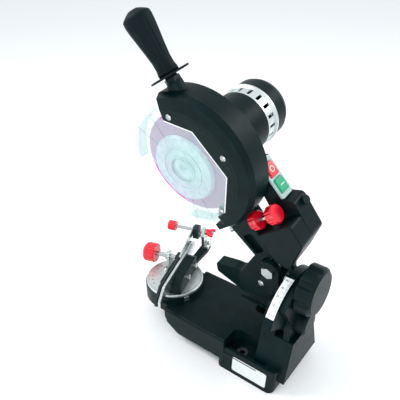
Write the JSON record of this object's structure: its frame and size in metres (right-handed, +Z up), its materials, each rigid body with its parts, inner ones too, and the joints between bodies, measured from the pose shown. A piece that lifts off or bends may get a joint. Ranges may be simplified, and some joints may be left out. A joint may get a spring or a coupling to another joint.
{
  "type": "electric chainsaw sharpener",
  "caption": "Bench-mounted electric grinder for saw chains: swinging motor head with guarded thin wheel, tilting bracket, swivelling chain vise and side handle.",
  "frame": {"origin": "centre of the foot's underside, where it rests on the bench", "axes": "+Z up, -Y towards the operator and the chain vise, +X the wheel's open side, -X the motor"},
  "size_m": [0.2323, 0.3372, 0.5136],
  "materials": {
    "black_casting": "satin black paint on an aluminium casting",
    "silver_casting": "bright turned and cast aluminium",
    "zinc_plate": "bright zinc-plated sheet steel",
    "black_plate": "black oxide steel",
    "steel": "plain machined steel",
    "spring_steel": "drawn spring wire",
    "laminations": "stacked electrical steel with varnished copper",
    "bronze": "plain bearing bronze",
    "clear_plastic": "clear moulded plastic, slightly frosted",
    "black_plastic": "fine-grained black moulded plastic",
    "grey_plastic": "pale grey moulded plastic",
    "red_plastic": "red moulded plastic",
    "green_plastic": "green moulded plastic",
    "rubber_grip": "soft black rubber",
    "scale_white": "white printed strip",
    "abrasive": "pink bonded abrasive"
  },
  "bodies": {
    "base": {"base_casting": "black_casting", "base_washers": "steel", "tilt_pin": "steel", "tilt_axis_cap": "black_plastic", "tilt_lock_bolt": "steel"},
    "tilt_knob": {"tilt_lock_knob": "black_plastic"},
    "bracket": {"tilt_bracket": "black_casting", "tilt_scale": "scale_white", "arm_pin": "steel", "bracket_fasteners": "steel", "return_spring": "spring_steel"},
    "head": {"arm": "black_casting", "arm_bushes": "bronze", "wheel_guard": "black_casting", "clear_cover": "clear_plastic", "head_screws": "steel", "motor_bell": "black_casting", "motor_vent_ring": "silver_casting", "motor_end_cap": "black_plastic", "stator": "laminations", "spindle_bearings": "steel", "handle_stud": "black_plastic", "handle_flange": "black_plastic", "handle_grip": "rubber_grip", "electrics_case": "black_plastic", "case_lid": "black_plastic", "switch_plate": "grey_plastic", "contact_block": "grey_plastic", "run_capacitor": "silver_casting", "motor_gland": "black_plastic", "motor_lead": "rubber_grip"},
    "spindle": {"motor_shaft": "steel", "rotor": "laminations", "cooling_fan": "black_plastic", "wheel_flanges": "silver_casting", "grinding_wheel": "abrasive", "spindle_nut": "steel"},
    "stop_press": {"stop_button": "red_plastic"},
    "start_press": {"start_button": "green_plastic"},
    "depth_screw": {"depth_stop_rod": "steel"},
    "depth_knob": {"depth_stop_knob": "red_plastic"},
    "depth_lock": {"depth_lock_knob": "red_plastic"},
    "vise": {"vise_disc": "silver_casting", "vise_bolt": "steel", "vise_body": "black_casting", "vise_screws": "steel", "rear_jaw": "zinc_plate", "guide_pins": "steel", "clamp_bracket": "zinc_plate", "stop_bracket": "zinc_plate"},
    "vise_lock": {"vise_lock_knob": "black_plastic"},
    "clamp": {"clamp_screw": "steel", "clamp_knob": "red_plastic"},
    "jaw": {"front_jaw": "black_plate", "clamp_shoe": "black_plate"},
    "stop_drive": {"stop_screw": "steel", "stop_adjust_knob": "red_plastic"},
    "stop_wing": {"stop_wing_nut": "red_plastic"},
    "stop_slide": {"stop_carrier": "black_plate"},
    "pawl": {"stop_pawl": "zinc_plate"}
  },
  "joints": [
    {"name": "head_tilt", "type": "hinge", "parent": "base", "child": "bracket", "pos_m": [0, 0.038, 0.106], "axis": [0, 1, 0], "range_deg": [-8, 27]},
    {"name": "tilt_lock_turn", "type": "hinge", "parent": "base", "child": "tilt_knob", "pos_m": [0, 0.06, 0.168], "axis": [0, -1, 0], "range_deg": [0, 180]},
    {"name": "head_lower", "type": "hinge", "parent": "bracket", "child": "head", "pos_m": [-0.01467, 0.005, 0.18127], "axis": [0.9903, 0, -0.1392], "range_deg": [0, 51], "stiffness_Nm_per_rad": 3.4, "springref_deg": -148.97, "deforming": ["return_spring"]},
    {"name": "wheel_spin", "type": "hinge", "parent": "head", "child": "spindle", "pos_m": [0.03004, -0.11111, 0.31978], "axis": [0.9903, 0, -0.1392], "continuous": true},
    {"name": "stop_button_press", "type": "slide", "parent": "head", "child": "stop_press", "axis": [-0.0876, -0.7771, -0.6232], "range_m": [0, 0.0025], "stiffness_N_per_m": 400, "springref_m": -0.0015},
    {"name": "start_button_press", "type": "slide", "parent": "head", "child": "start_press", "axis": [-0.0876, -0.7771, -0.6232], "range_m": [0, 0.0025], "stiffness_N_per_m": 400, "springref_m": -0.0015},
    {"name": "depth_stop_travel", "type": "slide", "parent": "head", "child": "depth_screw", "axis": [0.0876, 0.7771, 0.6232], "range_m": [0, 0.012]},
    {"name": "depth_knob_turn", "type": "hinge", "parent": "depth_screw", "child": "depth_knob", "pos_m": [0.00433, -0.00797, 0.25896], "axis": [0.0876, 0.7771, 0.6232], "range_deg": [0, 3456]},
    {"name": "depth_lock_turn", "type": "hinge", "parent": "head", "child": "depth_lock", "pos_m": [0.00433, -0.00797, 0.25896], "axis": [0.0876, 0.7771, 0.6232], "range_deg": [0, 360]},
    {"name": "vise_swivel", "type": "hinge", "parent": "base", "child": "vise", "pos_m": [0, -0.1795, 0.068], "axis": [0, 0, 1], "range_deg": [-52, 18]},
    {"name": "vise_lock_turn", "type": "hinge", "parent": "vise", "child": "vise_lock", "pos_m": [0, -0.1795, 0.034], "axis": [0, 0, 1], "range_deg": [0, 180]},
    {"name": "jaw_open", "type": "slide", "parent": "vise", "child": "jaw", "axis": [0.2924, -0.9563, 0], "range_m": [0, 0.002]},
    {"name": "clamp_turn", "type": "hinge", "parent": "vise", "child": "clamp", "pos_m": [-0.01992, -0.21696, 0.085], "axis": [-0.2924, 0.9563, 0], "range_deg": [0, 576]},
    {"name": "chain_stop_travel", "type": "slide", "parent": "vise", "child": "stop_slide", "axis": [-0.2924, 0.9563, 0], "range_m": [-0.003, 0.004]},
    {"name": "chain_stop_turn", "type": "hinge", "parent": "vise", "child": "stop_drive", "pos_m": [-0.07555, -0.2026, 0.115], "axis": [-0.2924, 0.9563, 0], "range_deg": [-1080, 1440]},
    {"name": "chain_stop_wing_turn", "type": "hinge", "parent": "stop_drive", "child": "stop_wing", "pos_m": [-0.08578, -0.16913, 0.115], "axis": [-0.2924, 0.9563, 0], "range_deg": [0, 360]},
    {"name": "pawl_flip", "type": "hinge", "parent": "stop_slide", "child": "pawl", "pos_m": [-0.07701, -0.19782, 0.115], "axis": [0.2924, -0.9563, 0], "range_deg": [0, 100]}
  ],
  "couplings": [
    {"joint": "depth_knob_turn", "follows": "depth_stop_travel", "rad_per_m": 5026.5},
    {"joint": "clamp_turn", "follows": "jaw_open", "rad_per_m": 5026.5},
    {"joint": "chain_stop_turn", "follows": "chain_stop_travel", "rad_per_m": 6283.2}
  ]
}
